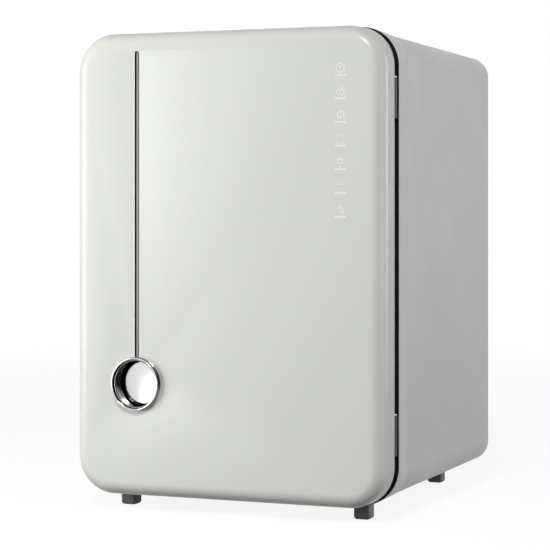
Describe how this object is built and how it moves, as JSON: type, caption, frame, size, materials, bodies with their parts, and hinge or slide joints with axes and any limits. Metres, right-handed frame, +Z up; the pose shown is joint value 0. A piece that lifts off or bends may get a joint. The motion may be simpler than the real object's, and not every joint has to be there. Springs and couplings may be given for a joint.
{
  "type": "uv sterilizer",
  "caption": "Counter-top ultraviolet sterilizer cabinet with a soft-edged full-front door, a round finger handle, a steel chamber, a rack and a pull-out basket.",
  "frame": {"origin": "centre of the footprint of the whole object's box, on the surface that its feet stand on", "axes": "+Z up, the door faces -Y, +X to the right of someone who stands before the door"},
  "size_m": [0.341, 0.358, 0.486],
  "materials": {
    "door_shell": "satin pearl",
    "casing_shell": "satin",
    "frame_shell": "satin",
    "seam_trim": "gloss",
    "seal": "matt",
    "bright_trim": "polished",
    "cup_dark": "gloss",
    "satin_disc": "satin",
    "inner_plastic": "matt",
    "dark_plastic": "matt",
    "stainless": "brushed",
    "steel": "satin",
    "reflector": "polished",
    "lamp_glass": "clear quartz",
    "foot_rubber": "matt",
    "foam": "open foam",
    "board": "satin",
    "heater": "ribbed",
    "magnet": "matt",
    "wire": "matt",
    "fan": "matt"
  },
  "bodies": {
    "cabinet": {"front_frame": "frame_shell", "outer_casing": "casing_shell", "rear_cover": "casing_shell", "rear_cover_screws": "steel", "lower_hinge_fixed_leaf": "steel", "upper_hinge_fixed_leaf": "steel", "lower_hinge_pin": "steel", "upper_hinge_pin": "steel", "frame_hinge_screws": "steel", "door_magnets": "magnet", "front_feet": "foot_rubber", "rear_feet": "foot_rubber", "foot_screws": "steel", "chamber_liner": "stainless", "liner_supports": "dark_plastic", "upper_left_rail": "stainless", "upper_right_rail": "stainless", "lower_left_rail": "stainless", "lower_right_rail": "stainless", "upper_lamp": "lamp_glass", "rear_lamp": "lamp_glass", "upper_lamp_sockets": "inner_plastic", "rear_lamp_sockets": "inner_plastic", "upper_reflector": "reflector", "rear_reflector": "reflector", "upper_lamp_guard": "stainless", "rear_lamp_guard": "stainless", "air_grille": "stainless", "air_heater": "heater", "fan_housing": "fan", "fan_motor": "fan", "control_board": "board", "board_standoffs": "steel", "lamp_ballast": "dark_plastic", "supply_wires": "wire", "power_inlet": "dark_plastic", "door_switch_housing": "dark_plastic", "door_switch_spring": "steel"},
    "door": {"door_outer_panel": "door_shell", "door_inner_panel": "inner_plastic", "door_trim": "seam_trim", "door_gasket": "seal", "groove_strip": "bright_trim", "handle_ring": "bright_trim", "handle_cup": "cup_dark", "handle_disc": "satin_disc", "touch_board": "board", "lower_hinge_door_leaf": "steel", "upper_hinge_door_leaf": "steel", "door_hinge_screws": "steel", "strike_plates": "steel"},
    "upper_rack": {"upper_rack": "stainless"},
    "lower_basket": {"lower_basket": "stainless"},
    "drip_tray": {"drip_tray": "stainless"},
    "switch_plunger": {"door_switch_plunger": "inner_plastic"},
    "fan_rotor": {"fan_impeller": "fan", "fan_shaft": "steel"},
    "filter_cover": {"filter_cover": "dark_plastic", "air_filter": "foam"}
  },
  "joints": [
    {"name": "door_hinge", "type": "hinge", "parent": "cabinet", "child": "door", "pos_m": [0.1665, -0.137, 0.25], "axis": [0, 0, 1], "range_deg": [0, 105]},
    {"name": "rack_slide", "type": "slide", "parent": "cabinet", "child": "upper_rack", "axis": [0, -1, 0], "range_m": [0, 0.092]},
    {"name": "basket_slide", "type": "slide", "parent": "cabinet", "child": "lower_basket", "axis": [0, -1, 0], "range_m": [0, 0.092]},
    {"name": "tray_slide", "type": "slide", "parent": "cabinet", "child": "drip_tray", "axis": [0, -1, 0], "range_m": [0, 0.092]},
    {"name": "plunger_slide", "type": "slide", "parent": "cabinet", "child": "switch_plunger", "axis": [0, -1, 0], "range_m": [0, 0.004]},
    {"name": "fan_spin", "type": "hinge", "parent": "cabinet", "child": "fan_rotor", "pos_m": [0, 0.15, 0.33], "axis": [0, 1, 0], "continuous": true},
    {"name": "filter_pull", "type": "slide", "parent": "cabinet", "child": "filter_cover", "axis": [0, 1, 0], "range_m": [0, 0.04]}
  ],
  "couplings": [
    {"joint": "rack_slide", "follows": "door_hinge", "m_per_rad": 0.05},
    {"joint": "basket_slide", "follows": "door_hinge", "m_per_rad": 0.05},
    {"joint": "tray_slide", "follows": "door_hinge", "m_per_rad": 0.05},
    {"joint": "plunger_slide", "follows": "door_hinge", "m_per_rad": 0.00218}
  ]
}
